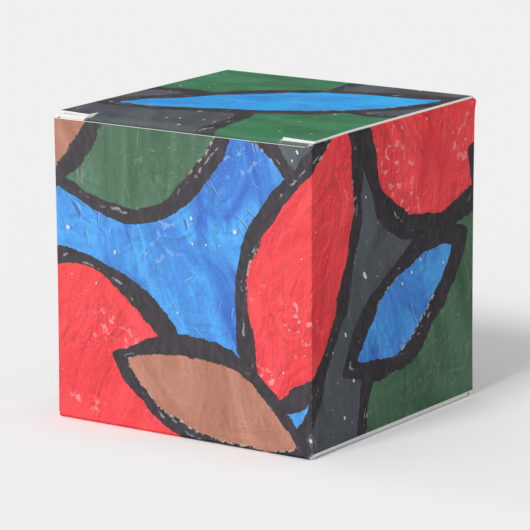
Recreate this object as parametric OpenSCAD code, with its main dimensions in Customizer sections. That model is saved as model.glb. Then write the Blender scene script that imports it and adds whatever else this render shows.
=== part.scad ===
// Favor box: a small reverse tuck end carton, folded from one sheet of printed card.
// Origin under the middle of the box, +Z up, the front wall towards -Y.
// The top lid turns on the fold at the back and tucks in at the front.
// The bottom lid turns on the fold at the front and tucks in at the back.

/* [Box] */
// Outside width, along the front
box_w = 50.8; // [35:0.1:120]
// Outside depth, from front to back
box_d = 50.4; // [35:0.1:120]
// Outside height, over both closed lids
box_h = 51.8; // [35:0.1:120]

/* [Card] */
// Thickness of the card
card_t = 0.4; // [0.3:0.05:0.7]
// Depth of the printed skin, within the card's thickness
ink_t = 0.05; // [0.02:0.01:0.1]

/* [Folds] */
// Inside radius of the upright edges and of the dust flaps' folds
edge_r = 0.1; // [0.05:0.05:0.4]
// Inside radius of the soft fold at the back that carries the top lid
back_fold_r = 0.85; // [0.1:0.05:1.2]
// Inside radius of the fold at the front that carries the bottom lid
front_fold_r = 0.3; // [0.1:0.05:1.2]
// Inside radius of the fold between a lid and its tuck flap
tuck_fold_r = 0.4; // [0.1:0.05:0.8]
// How far the top lid's fold stops short of the box's sides
back_relief = 0.4; // [0.2:0.05:2]
// How far the bottom lid's fold stops short of the box's sides
front_relief = 0.7; // [0.2:0.05:2]

/* [Flaps] */
// Length of the tuck flaps
tuck_len = 12; // [8:0.5:16]
// Radius of the tuck flaps' free corners
tuck_corner_r = 5; // [1:0.5:7]
// Length of the slit lock at each end of a tuck flap's fold
slit_len = 6; // [3:0.5:10]
// How far a tuck flap's shoulders stand up past its fold, at the slits
shoulder_rise = 0.45; // [0.1:0.05:0.6]
// Gap between the free ends of a pair of dust flaps
dust_opening = 10; // [6:0.5:16]
// Radius of the dust flaps' free corners
dust_corner_r = 3; // [1:0.5:6]
// Length of the glue flap
glue_len = 12; // [6:0.5:16]
// Taper at each end of the glue flap
glue_taper = 4; // [1:0.5:8]

/* [Clearances] */
// How much narrower a lid is than the box, at each side
lid_inset = 0.4; // [0.2:0.05:1]
// Between a tuck flap's side and the glue flap beside it
tuck_gap = 0.2; // [0.1:0.05:0.5]
// Between a lid and the dust flaps under it
stack_gap = 0.05; // [0.02:0.01:0.2]
// Between a tuck flap and the wall in front of it
slip_gap = 0.15; // [0.1:0.05:0.5]
// Between a tuck flap's shoulder and the end of the fold beside it
slit_gap = 0.1; // [0.05:0.05:0.5]
// Between the ends of a dust flap's root and what passes them
dust_gap = 0.2; // [0.1:0.05:0.5]

/* [Print] */
// Width of the dark line round each painted field
line_w = 2.8; // [0.5:0.1:5]

/* [Hidden] */

card_white = "#f4f3f1";
red = "#d9403f";
blue = "#3a7fc6";
green = "#3f7048";
brown = "#a56f4c";
grey = "#5a5d64";
dark = "#242226";
wall_ground = grey;
lid_ground = green;

// How far neighbouring colours of the print reach into each other, and into the white card under them
print_lap = 0.01;
// A printed fold takes its colours from the print beside it, in this many steps that end on whole grid lines
fold_steps = 60;
fold_grid = 0.01;
function step_at(i, length) =
    i == fold_steps ? length : round(length * i / fold_steps / fold_grid) * fold_grid;
field_fn = 96;
fold_fn = 48;

// Thickness of the tab that ties a fold to a panel, its reach on each side of where they meet,
// and how far it stops short of the fold's ends
tab_t = (card_t - ink_t) / 2;
tab_reach = 0.1;
tab_inset = 1;

// Outer radii of the folds
edge_out = edge_r + card_t;
tuck_fold_out = tuck_fold_r + card_t;
function lid_fold_out(top) = card_t + (top ? back_fold_r : front_fold_r);
function lid_fold_len(top) = box_w - 2 * (top ? back_relief : front_relief);

// The walls in the order of the flat sheet
LEFT = 0;
FRONT = 1;
RIGHT = 2;
BACK = 3;
// Width of a wall, its distance from the box's middle, and how far it is turned from the front
function wall_w(k) = k == FRONT || k == BACK ? box_w : box_d;
function wall_reach(k) = k == FRONT || k == BACK ? box_d / 2 : box_w / 2;
function wall_turn(k) = 90 * (k - FRONT);
// Half width of a wall between its upright folds
function flat_end(k) = wall_w(k) / 2 - edge_out;
// Where a wall starts on the flat print, which counts from the front wall's left edge
function wall_start(k) = k == LEFT ? -box_d : k == FRONT ? 0 : k == RIGHT ? box_w : box_w + box_d;
// The same for a place given in walls: -1 to 0 is the left wall, 0 to 1 the front, and so on
function along(s) = let (k = min(max(floor(s) + FRONT, LEFT), BACK))
    wall_start(k) + (s + FRONT - k) * wall_w(k);

// The front wall's top edge is cut just under the dust flaps, and so is the back wall's bottom edge
cut_top = box_h - 2 * (card_t + stack_gap);
cut_bottom = box_h - cut_top;
// The side walls and the upright folds lie between the dust flaps' folds
side_top = box_h - card_t - stack_gap - edge_out;
side_bottom = box_h - side_top;

// Card swells where it is creased, so a tuck flap is this much thinner on each side than its fold
crease_swell = 0.01;
// How far a tuck flap's card reaches up into its fold
root_lap = 0.05;

// Lids and tuck flaps
lid_w = box_w - 2 * lid_inset;
tuck_w = box_w - 4 * card_t - 2 * tuck_gap;
tuck_reach = box_d / 2 - card_t - slip_gap;
lid_front = tuck_reach - tuck_fold_out;
function lid_back(top) = box_d / 2 - lid_fold_out(top);
// A hinge axis is the outermost line of the lid's fold, so that the fold's two halves part as it opens
function hinge_inset(top) = lid_fold_out(top) * (1 - cos(45));
function swing_r(top) = tuck_reach + box_d / 2 - hinge_inset(top);
// A tuck flap leans in so far that its free edge swings on the circle of its fold, clear of the wall
function tuck_lean(top) = asin(tuck_len / (2 * swing_r(top)))
    + atan((tuck_fold_out - hinge_inset(top)) / swing_r(top));
function tuck_sag(top) = swing_r(top) - sqrt(pow(swing_r(top), 2) - pow(tuck_len / 2, 2));

// A dust flap's root ends clear of the tuck flap's swing and of the lid's fold
dust_len = (box_w - dust_opening) / 2 - edge_out;
function dust_at_tuck(top) = tuck_reach - card_t - tuck_sag(top) - dust_gap;
function dust_at_fold(top) = lid_back(top) - dust_gap;

// Painted fields, the lowest first: colour, place across, place up, turn, length, width.
// A field as wide as it is long is round, and a slimmer one is a leaf.
// On the walls a place is in walls across and heights up, and the sizes are in heights.
WALL_FIELDS = [
    [blue, 0.47, 0.47, 0, 1.22, 1.22],
    [red, 0.04, 0.04, 0, 0.98, 0.98],
    [green, 0.26, 1.12, 0, 0.83, 0.83],
    [green, 1.93, 0.04, 0, 1.22, 1.22],
    [red, 1.78, 1.10, 0, 0.98, 0.98],
    [red, 1.00, 0.59, 68, 1.02, 0.45],
    [brown, 0.61, 0.14, -16, 0.75, 0.28],
    [blue, 1.56, 0.39, 24, 0.75, 0.28],
    [blue, 2.80, 0.87, 0, 1.06, 1.06],
    [red, 2.76, -0.12, 0, 0.98, 0.98],
    [brown, 2.34, 0.55, -38, 0.90, 0.35],
    [brown, -0.33, 1.18, 0, 1.02, 1.02],
    [green, -0.68, 0.24, 0, 0.79, 0.79],
    [blue, -0.49, 0.65, 28, 0.90, 0.33],
];
// On the lids the places are shares of the box's width and depth, and the sizes of its width
TOP_FIELDS = [
    [grey, 0.12, 0.09, 0, 0.94, 0.94],
    [grey, 0.93, 0.90, 0, 0.78, 0.78],
    [blue, 0.53, 0.56, 33, 1.18, 0.39],
];
BOTTOM_FIELDS = [
    [red, 0.16, 0.12, 0, 1.18, 1.18],
    [blue, 0.98, 0.91, 0, 0.94, 0.94],
    [brown, 0.47, 0.59, 38, 0.90, 0.35],
];

// The same fields in millimetres: colour, centre, turn, length, width
function on_walls(f) = [f[0], [along(f[1]), f[2] * box_h], f[3], f[4] * box_h, f[5] * box_h];
function on_lid(f) = [f[0], [(f[1] - 0.5) * box_w, (f[2] - 0.5) * box_d], f[3], f[4] * box_w, f[5] * box_w];
wall_print = [for (f = WALL_FIELDS) on_walls(f)];
function lid_print(top) = [for (f = top ? TOP_FIELDS : BOTTOM_FIELDS) on_lid(f)];

// Whether a field reaches a panel
function touches(f, from, size) =
    abs(f[1][0] - from[0] - size[0] / 2) < (f[3] + line_w + size[0]) / 2
    && abs(f[1][1] - from[1] - size[1] / 2) < (f[3] + line_w + size[1]) / 2;

// Radius of the two arcs that bound a field
function arc_r(f) = (f[3] * f[3] / f[4] + f[4]) / 4;
// How far a point lies outside a field
function turned(p, a) = [p[0] * cos(a) + p[1] * sin(a), p[1] * cos(a) - p[0] * sin(a)];
function outside(f, p) = let (q = turned(p - f[1], f[2]), o = [0, arc_r(f) - f[4] / 2])
    max(norm(q - o), norm(q + o)) - arc_r(f);
// Colour of the print at a point: that of the last field over it, or of its line
function colour_at(fields, ground, p) =
    let (hit = [for (f = fields) if (outside(f, p) < line_w / 2) f], last = hit[len(hit) - 1])
    len(hit) == 0 ? ground : outside(last, p) < -line_w / 2 ? last[0] : dark;

// Outline of a field, grown by a margin
module field_2d(f, margin) {
    translate(f[1]) rotate(f[2]) intersection_for (side = [-1, 1])
        translate([0, side * (arc_r(f) - f[4] / 2)]) circle(arc_r(f) + margin, $fn = field_fn);
}

// What shows of a field inside a panel, less the later fields on top of it
module visible_2d(fields, i, margin, size) {
    difference() {
        intersection() {
            square(size);
            field_2d(fields[i], margin);
        }
        for (j = [i + 1 : 1 : len(fields) - 1]) field_2d(fields[j], line_w / 2 - print_lap);
    }
}

// Printed skin of a flat panel, whose lower left corner is at from on the print
module print_skin(size, from, print, ground) {
    fields = [for (f = print) if (touches(f, from, size)) [f[0], f[1] - from, f[2], f[3], f[4]]];
    color(ground) linear_extrude(ink_t + print_lap) difference() {
        square(size);
        for (f = fields) field_2d(f, line_w / 2 - print_lap);
    }
    for (i = [0 : 1 : len(fields) - 1]) {
        color(fields[i][0]) linear_extrude(ink_t + print_lap)
            visible_2d(fields, i, print_lap - line_w / 2, size);
        color(dark) linear_extrude(ink_t + print_lap) difference() {
            visible_2d(fields, i, line_w / 2, size);
            field_2d(fields[i], -line_w / 2);
        }
    }
}

// Flat panel of white card with the print on its +Z face
module panel(size, from, print, ground) {
    color(card_white) cube([size[0], size[1], card_t - ink_t]);
    translate([0, 0, card_t - ink_t - print_lap]) print_skin(size, from, print, ground);
}

// Layer of a fold about Z, from angle a to angle b
module fold(r, thick, a, b, length) {
    rotate([0, 0, a]) rotate_extrude(angle = b - a, $fn = fold_fn)
        translate([r, 0]) square([thick, length]);
}

// White card of a fold. At each of the angles in joined, a tab inside the card runs on into a panel.
module white_fold(r, thick, a, b, length, joined) {
    color(card_white) {
        fold(r, thick, a, b, length);
        for (end = joined) rotate([0, 0, end])
            translate([r + (thick - tab_t) / 2, -tab_reach, tab_inset])
                cube([tab_t, 2 * tab_reach, length - 2 * tab_inset]);
    }
}

// Printed fold about Z. Its colours are those of the print along a line between two points.
module printed_fold(r, a, b, length, joined, from, to, print, ground) {
    steps = [0 : fold_steps - 1];
    tint = [for (i = steps) colour_at(print, ground, from + (to - from) * (i + 0.5) / fold_steps)];
    starts = [for (i = steps) if (i == 0 || tint[i] != tint[i - 1]) i];
    ends = [for (n = [1 : 1 : len(starts) - 1]) starts[n], fold_steps];
    white_fold(r, card_t - ink_t, a, b, length, joined);
    for (n = [0 : len(starts) - 1]) {
        start = n == 0 ? 0 : step_at(starts[n], length) - print_lap;
        color(tint[starts[n]]) translate([0, 0, start])
            fold(r + card_t - ink_t - print_lap, ink_t + print_lap, a, b, step_at(ends[n], length) - start);
    }
}

// Puts children in a wall's frame: X along the wall, Y up, Z outwards from the card's inner face
module on_wall(k) {
    rotate([0, 0, wall_turn(k)]) translate([0, card_t - wall_reach(k), 0]) rotate([90, 0, 0]) children();
}

// Turns what is at the top over to the bottom, about the middle of the box
module upside_down() {
    translate([0, 0, box_h]) rotate([180, 0, 0]) children();
}

// Flat part of a wall
module wall(k, start, end, bottom, top) {
    on_wall(k) translate([start, bottom, 0])
        panel([end - start, top - bottom], [wall_start(k) + wall_w(k) / 2 + start, bottom],
            wall_print, wall_ground);
}

// Upright fold at a wall's right-hand end
module upright_fold(k) {
    at = wall_start(k) + wall_w(k);
    rotate([0, 0, wall_turn(k)]) translate([flat_end(k), edge_out - wall_reach(k), side_bottom])
        printed_fold(edge_r, -90, 0, side_top - side_bottom, [-90, 0],
            [at, side_bottom], [at, side_top], wall_print, wall_ground);
}

// Outline of a flap that is rooted on the X axis, with rounded free corners
module flap_2d(start, end, length, r) {
    translate([start, 0]) square([end - start, length - r]);
    translate([start + r, 0]) square([end - start - 2 * r, length]);
    for (x = [start + r, end - r]) translate([x, length - r]) circle(r, $fn = fold_fn);
}

// Dust flap with its fold, at the top of a side wall
module dust_flap(k, start, end) {
    on_wall(k) translate([0, side_top, card_t - edge_out]) {
        translate([start, 0, 0]) rotate([0, 90, 0])
            white_fold(edge_r, card_t, 90, 180, end - start, [90, 180]);
        color(card_white) translate([0, edge_r, 0]) rotate([-90, 0, 0])
            linear_extrude(card_t) flap_2d(start, end, dust_len, dust_corner_r);
    }
}

// Both dust flaps under a lid, in the top lid's place
module dust_flaps(top) {
    dust_flap(RIGHT, -dust_at_tuck(top), dust_at_fold(top));
    dust_flap(LEFT, -dust_at_fold(top), dust_at_tuck(top));
}

// Fold at the back wall's free end, and the glue flap that it turns inside the left wall
module glue_flap() {
    root = flat_end(LEFT);
    translate([card_t + edge_out - box_w / 2, root, side_bottom])
        white_fold(edge_r, card_t, 90, 180, side_top - side_bottom, [90, 180]);
    color(card_white) translate([card_t - box_w / 2, root, 0]) rotate([90, 0, 90])
        linear_extrude(card_t) polygon([
            [0, side_bottom], [-glue_len, side_bottom + glue_taper],
            [-glue_len, side_top - glue_taper], [0, side_top],
        ]);
}

// Half of the fold that carries a lid, in the top lid's place: the wall's half, or its mirror image
module lid_fold_half(top, mirrored) {
    end = lid_fold_len(top) / 2;
    translate([-end, lid_back(top), box_h - lid_fold_out(top)]) rotate([90, 0, 90])
        mirror(mirrored ? [1, -1, 0] : [0, 0, 0])
            printed_fold(lid_fold_out(top) - card_t, 0, 45, 2 * end, [0],
                [-end, lid_back(top)], [end, lid_back(top)], lid_print(top), lid_ground);
}

// The four walls, the glue flap and the dust flaps, with the walls' halves of the two lids' folds
module box_body() {
    wall(FRONT, -flat_end(FRONT), flat_end(FRONT), lid_fold_out(false), cut_top);
    wall(RIGHT, -flat_end(RIGHT), flat_end(RIGHT), side_bottom, side_top);
    wall(BACK, -flat_end(BACK), flat_end(BACK) - card_t, cut_bottom, box_h - lid_fold_out(true));
    wall(LEFT, -flat_end(LEFT), flat_end(LEFT), side_bottom, side_top);
    for (k = [LEFT, FRONT, RIGHT]) upright_fold(k);
    glue_flap();
    dust_flaps(true);
    lid_fold_half(true, false);
    upside_down() {
        dust_flaps(false);
        lid_fold_half(false, false);
    }
}

// Tuck flap, hanging from the end of its fold, with a shoulder standing up beside each slit
module tuck_flap() {
    shoulder_start = lid_w / 2 - slit_len + slit_gap;
    color(card_white) translate([0, -tuck_fold_r - crease_swell, 0]) rotate([90, 0, 0])
        linear_extrude(card_t - 2 * crease_swell) {
            mirror([0, 1]) flap_2d(-tuck_w / 2, tuck_w / 2, tuck_len, tuck_corner_r);
            translate([-tuck_w / 2, 0]) square([tuck_w, root_lap]);
            for (side = [0, 1]) mirror([side, 0])
                translate([shoulder_start, 0]) square([tuck_w / 2 - shoulder_start, shoulder_rise]);
        }
}

// A closed lid in the top lid's place: its half of the hinge fold, the panel and the tuck flap with its fold
module lid(top) {
    print = lid_print(top);
    tuck_fold_end = lid_w / 2 - slit_len;
    lid_fold_half(top, true);
    translate([-lid_w / 2, -lid_front, box_h - card_t])
        panel([lid_w, lid_front + lid_back(top)], [-lid_w / 2, -lid_front], print, lid_ground);
    translate([0, -lid_front, box_h - tuck_fold_out]) {
        translate([-tuck_fold_end, 0, 0]) rotate([90, 0, 90])
            printed_fold(tuck_fold_r, 90, 180 + tuck_lean(top), 2 * tuck_fold_end, [90],
                [-tuck_fold_end, -lid_front], [tuck_fold_end, -lid_front], print, lid_ground);
        rotate([tuck_lean(top), 0, 0]) tuck_flap();
    }
}

module top_lid() lid(true);

module bottom_lid() upside_down() lid(false);

box_body();
top_lid();
bottom_lid();
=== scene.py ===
"""A favor box folded from one sheet of printed card, dressed for its closing renders."""

import math

import bmesh
import bpy
import numpy as np
from mathutils import Matrix, Vector, geometry


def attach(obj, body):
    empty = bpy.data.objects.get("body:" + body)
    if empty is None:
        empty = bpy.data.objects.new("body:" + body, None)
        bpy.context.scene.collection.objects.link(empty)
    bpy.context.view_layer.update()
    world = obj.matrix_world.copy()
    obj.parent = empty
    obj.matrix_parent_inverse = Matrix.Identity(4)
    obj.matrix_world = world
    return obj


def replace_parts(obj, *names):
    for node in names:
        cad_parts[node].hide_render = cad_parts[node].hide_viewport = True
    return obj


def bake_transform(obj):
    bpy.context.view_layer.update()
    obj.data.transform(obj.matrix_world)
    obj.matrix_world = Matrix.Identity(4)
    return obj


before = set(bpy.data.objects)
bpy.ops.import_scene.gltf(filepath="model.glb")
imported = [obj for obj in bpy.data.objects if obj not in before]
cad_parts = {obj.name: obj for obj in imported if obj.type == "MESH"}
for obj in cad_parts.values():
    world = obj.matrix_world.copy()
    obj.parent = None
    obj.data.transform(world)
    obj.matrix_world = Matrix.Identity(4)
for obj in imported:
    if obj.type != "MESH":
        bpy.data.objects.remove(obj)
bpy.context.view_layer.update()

# Lengths are in millimetres until a mesh is made
MM = 0.001

# The box, as it is built in the solids
BOX_W = 50.8
BOX_D = 50.4
BOX_H = 51.8
CARD_T = 0.4
EDGE_R = 0.5
# The upright folds are creased sharper than in the solids, at their outside and inside
CREASE_OUT = 0.2
CREASE_IN = 0.1
FRONT_TOP = 50.68
SIDE_BOTTOM = 0.95
SIDE_TOP = 50.85
LID_HALF_W = 25.0
LID_FRONT_Y = -23.85
TUCK_FOLD_R = 0.8
TUCK_FOLD_HALF_W = 19.0
TUCK_HALF_W = 24.4
TUCK_LEN = 12.0
TUCK_CORNER_R = 5.0
SHOULDER_START = 19.1
SHOULDER_RISE = 0.45
DUST_REACH = 19.9
DUST_CORNER_R = 3.0
GLUE_LEN = 12.3
GLUE_TAPER = 4.0
LINE_W = 2.8

# Spacing of the mesh on flat card, and of its rows across a fold, in degrees
GRID = 1.25
FOLD_STEP = 6.0
# Two triangles become one face up to this angle between them, and up to this much out of square
JOIN_ANGLE = math.radians(12)
JOIN_SKEW = math.radians(40)
# Lengths that count as none, on an outline and in a triangle or a field
NO_STEP, NO_LENGTH = 1e-4, 1e-6
# Grid points are tested in blocks of about this many, to spare memory
BLOCK = 2000


class Path:
    """The line that the card's printed side follows from a point, in straight runs and left-hand folds."""

    def __init__(self, start, heading, moves):
        self.parts = []
        self.ends = [0.0]
        x, y = start
        for length, radius in moves:
            self.parts.append((self.ends[-1], x, y, heading, radius))
            if radius:
                turn = math.degrees(length / radius)
                cx = x - radius * math.sin(math.radians(heading))
                cy = y + radius * math.cos(math.radians(heading))
                heading += turn
                x = cx + radius * math.sin(math.radians(heading))
                y = cy - radius * math.cos(math.radians(heading))
            else:
                x += length * math.cos(math.radians(heading))
                y += length * math.sin(math.radians(heading))
            self.ends.append(self.ends[-1] + length)

    def at(self, s):
        """Point, outward normal and heading at a distance along the path."""
        index = 0
        while index < len(self.parts) - 1 and s > self.ends[index + 1]:
            index += 1
        start, x, y, heading, radius = self.parts[index]
        way = math.radians(heading)
        if radius:
            cx, cy = x - radius * math.sin(way), y + radius * math.cos(way)
            way += (s - start) / radius
            x, y = cx + radius * math.sin(way), cy - radius * math.cos(way)
        else:
            x += (s - start) * math.cos(way)
            y += (s - start) * math.sin(way)
        return (x, y), (math.sin(way), -math.cos(way)), (math.cos(way), math.sin(way))

    def stations(self):
        """Places for rows of the mesh: close together on folds, about a grid step apart on flat card."""
        found = [0.0]
        for (start, _, _, _, radius), end in zip(self.parts, self.ends[1:]):
            length = end - start
            size = math.radians(FOLD_STEP) * radius if radius else GRID
            count = max(1, round(length / size))
            found += [start + length * i / count for i in range(1, count + 1)]
        return found


def fold_len(radius, degrees=90.0):
    return radius * math.radians(degrees)


def arc(centre, radius, a, b, count=8):
    """Points on an arc from angle a to angle b, both ends included."""
    angles = [math.radians(a + (b - a) * i / count) for i in range(count + 1)]
    return [(centre[0] + radius * math.cos(t), centre[1] + radius * math.sin(t)) for t in angles]


def cut_at(points, axis, stations):
    """A closed outline with more points, where its edges cross the mesh's rows."""
    found = []
    for p, q in zip(points, points[1:] + points[:1]):
        found.append(p)
        lo, hi = sorted((p[axis], q[axis]))
        inside = [s for s in stations if lo + NO_STEP < s < hi - NO_STEP]
        for s in (inside if q[axis] > p[axis] else inside[::-1]):
            t = (s - p[axis]) / (q[axis] - p[axis])
            found.append((p[0] + t * (q[0] - p[0]), p[1] + t * (q[1] - p[1])))
    return found


def apart(points, least=0.015):
    """The outline without points that all but coincide."""
    kept = [points[0]]
    for p in points[1:]:
        if math.dist(p, kept[-1]) > least:
            kept.append(p)
    if math.dist(kept[0], kept[-1]) <= least:
        kept.pop()
    return kept


def grid_inside(outline, columns, rows, margin=0.04):
    """Grid points inside an outline and off its edges."""
    poly = np.array(outline)
    a, b = poly, np.roll(poly, -1, axis=0)
    pts = np.array([(x, y) for y in rows for x in columns])
    found = []
    for block in np.array_split(pts, max(1, len(pts) // BLOCK)):
        x, y = block[:, :1], block[:, 1:]
        spans = (a[:, 1] > y) != (b[:, 1] > y)
        rise = np.where(b[:, 1] == a[:, 1], 1.0, b[:, 1] - a[:, 1])
        crossing = x < (b[:, 0] - a[:, 0]) * (y - a[:, 1]) / rise + a[:, 0]
        inside = (spans & crossing).sum(1) % 2 == 1
        d = b - a
        t = ((x - a[:, 0]) * d[:, 0] + (y - a[:, 1]) * d[:, 1]) / (d ** 2).sum(1)
        t = np.clip(t, 0, 1)
        gap = np.hypot(x - a[:, 0] - t * d[:, 0], y - a[:, 1] - t * d[:, 1]).min(1)
        found.append(block[inside & (gap > margin)])
    return [tuple(p) for p in np.concatenate(found)]


def card_sheet(name, outline, columns, rows, place, print_at, slots, materials, wrapped=None):
    """A closed mesh of card: a flat outline is meshed on its grid, folded by place() and given its thickness.

    place(p) gives the points of the printed side and of the inside, print_at(p, slot) the place on the
    print, slots(p) the material of the printed side, and wrapped(p) says where the print covers the edge."""
    outline = apart(cut_at(cut_at(outline, 0, columns), 1, rows))
    flat = outline + grid_inside(outline, columns, rows)
    ring = [(i, (i + 1) % len(outline)) for i in range(len(outline))]
    inside_only = 1
    made = geometry.delaunay_2d_cdt([Vector(p) for p in flat], ring, [], inside_only, NO_LENGTH)
    flat = [tuple(p) for p in made[0]]
    triangles = [tuple(t) for t in made[2]]

    placed = [place(p) for p in flat]
    outer = [np.array(p) for p, _ in placed]
    inner = [np.array(q) for _, q in placed]
    mesh = bpy.data.meshes.new(name)
    piece = bpy.data.objects.new(name, mesh)
    bpy.context.scene.collection.objects.link(piece)
    bm = bmesh.new()
    top = [bm.verts.new(Vector(p) * MM) for p in outer]
    low = [bm.verts.new(Vector(p) * MM) for p in inner]
    prints = bm.loops.layers.uv.new("Print")
    of_vert = {v: flat[i % len(flat)] for i, v in enumerate(top + low)}
    # The triangles' sides in the order of making, so that the mesh comes out the same each time
    edge_use = {}
    for t in triangles:
        a, b, c = (outer[i] for i in t)
        if np.dot(np.cross(b - a, c - a), a - inner[t[0]]) < 0:
            t = t[::-1]
        middle = tuple(sum(flat[i][k] for i in t) / 3 for k in (0, 1))
        face = bm.faces.new([top[i] for i in t])
        face.material_index = slots(middle)
        back = bm.faces.new([low[i] for i in t[::-1]])
        back.material_index = len(materials) - 2
        for i, j in zip(t, t[1:] + t[:1]):
            edge_use[i, j] = True
    for i, j in edge_use:
        if (j, i) not in edge_use:
            rim = bm.faces.new([top[j], top[i], low[i], low[j]])
            covered = wrapped and wrapped(flat[i]) and wrapped(flat[j])
            rim.material_index = 0 if covered else len(materials) - 1
            for pair in ((top[i], top[j]), (low[i], low[j]), (top[i], low[i])):
                edge = bm.edges.get(pair)
                edge.smooth = pair == (top[i], low[i])
    for face in bm.faces:
        face.smooth = True
        for loop in face.loops:
            loop[prints].uv = print_at(of_vert[loop.vert], face.material_index)
    threes = [f for f in bm.faces if len(f.verts) == 3]
    bmesh.ops.join_triangles(
        bm, faces=threes, cmp_materials=True, cmp_uvs=False,
        angle_face_threshold=JOIN_ANGLE, angle_shape_threshold=JOIN_SKEW)
    bm.normal_update()
    bm.to_mesh(mesh)
    bm.free()
    for material in materials:
        mesh.materials.append(material)
    return piece


# The four walls with the dust flaps and the glue flap

# The raw edge of the left wall stops at the glued fold
RAW_Y = 24.7
WALL_FOLD = (fold_len(CREASE_OUT), CREASE_OUT)
INNER_FOLD = (fold_len(CREASE_IN), CREASE_IN)
# The glue flap lies inside the left wall
GLUE_OUT = CARD_T + 0.02
GLUE_END = 12.7


def walls_path(inset, fold, radius):
    """The walls' line round the box, at a depth in the card."""
    x, y = BOX_W / 2 - inset, BOX_D / 2 - inset
    glue_x = BOX_W / 2 - GLUE_OUT - inset
    return Path((-x, RAW_Y), -90, [
        (RAW_Y + y - radius, 0), fold, (2 * (x - radius), 0), fold, (2 * (y - radius), 0), fold,
        (x + glue_x - 2 * radius, 0), fold, (y - radius - GLUE_END, 0)])


WALL_PATH = walls_path(0, WALL_FOLD, CREASE_OUT)
INNER_PATH = walls_path(CARD_T, INNER_FOLD, CREASE_IN)
(LEFT_0, LEFT_1, FRONT_0, FRONT_1, RIGHT_0, RIGHT_1, BACK_0, BACK_1, GLUE_0, GLUE_1) = WALL_PATH.ends
# On the printed side, the places over the ends of the inner folds
NEAR_FOLD = CARD_T + CREASE_IN - CREASE_OUT
INNER_STOPS = [LEFT_0, LEFT_1 - NEAR_FOLD, FRONT_0 + NEAR_FOLD, FRONT_1 - NEAR_FOLD, RIGHT_0 + NEAR_FOLD,
               RIGHT_1 - NEAR_FOLD, BACK_0 + NEAR_FOLD, BACK_1 - NEAR_FOLD, GLUE_0 + NEAR_FOLD, GLUE_1]
BACK_TOP = 50.9
BACK_BOTTOM = 0.9
FRONT_BOTTOM = 0.55
# Ends of the dust flaps' roots, along Y
TOP_ROOT = (-23.69, 23.75)
BOTTOM_ROOT = (-24.3, 23.69)
# How far the dust flaps' folds reach towards the corners, beside the tuck flaps
FOLD_END = 24.75
TOP_BLEED = 1.5
DUST_FOLD = fold_len(EDGE_R)
FOLD_ROWS = 10
# The right wall's back corner stands up beside the top lid's fold, from a foot at the dust flap
CORNER_TOP = 51.45
CORNER_R = 0.8
CORNER_FOOT = 0.1
# Where the creases and the ends of the walls' folds lie on the print, from the front wall's left edge
CREASES = (0, BOX_W, BOX_W + BOX_D, 2 * BOX_W + BOX_D)
PRINT_STOPS = [crease + side * CREASE_OUT for crease in CREASES for side in (-1, 1)]
PRINT_STOPS = [-BOX_D / 2 - RAW_Y] + PRINT_STOPS + [PRINT_STOPS[-1] + GLUE_LEN]


def on_left(y):
    """Place of a Y on the left wall's flat card, and below on the right wall's."""
    return RAW_Y - y


def on_right(y):
    return RIGHT_0 + BOX_D / 2 - CREASE_OUT + y


# The outline of a dust flap's fold where it is wider than the flap: how far the flap's side starts past the
# fold, how far it is cut back beside the flap, and the slant at its free end
SHOULDER_GAP = 0.05
SHOULDER_SIDE = 0.4
SHOULDER_CUT = 0.25
FOLD_SLANT = 0.15
FOLD_RISE = 0.5


def dust_outline(on_wall, ends, root, sign, widened, covers=0.0):
    """A dust flap's outline on the flat card, between the ends of its root along Y.

    Its fold is wider, and may cover the gap beside the tuck flap."""
    start, end, widened = on_wall(ends[0]), on_wall(ends[1]), on_wall(widened)
    tip = root + sign * (DUST_FOLD + DUST_REACH)
    r = DUST_CORNER_R
    points = [(start, root)] + arc((start + r, tip - sign * r), r, 180, 180 - sign * 90)
    points += arc((end - r, tip - sign * r), r, sign * 90, 0) + [(end, root)]
    shoulder = root + sign * (DUST_FOLD + SHOULDER_GAP)
    side = shoulder + sign * SHOULDER_SIDE
    if widened < start:
        points[:1] = [(widened, root), (widened + FOLD_SLANT, root + sign * FOLD_RISE),
                      (start - SHOULDER_CUT, shoulder), (start, side)]
    if widened > end:
        points[-1:] = [(end, side), (end + SHOULDER_CUT, shoulder + sign * covers),
                       (widened - FOLD_SLANT, root + sign * (FOLD_RISE + covers)),
                       (widened, root + sign * covers), (widened, root)]
    return points


# Left end of the lower left dust flap's fold, along Y
LOWER_LEFT_END = -24.4
# How far the upper left dust flap's fold covers the gap beside the tuck flap
CORNER_COVER = 0.35
# Where the front wall's lower edge starts past its left fold, and the bends of its upper and lower edges at
# the right: how far in from the fold, and how far up
FRONT_FOOT_START = 0.05
FRONT_HEAD = [(9, 0), (1.2, 0.06), (0.7, 0.2), (0.55, 0.18), (0.4, 0)]
FRONT_FOOT = [(0.4, 0), (0.1, 0.08)]


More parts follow.
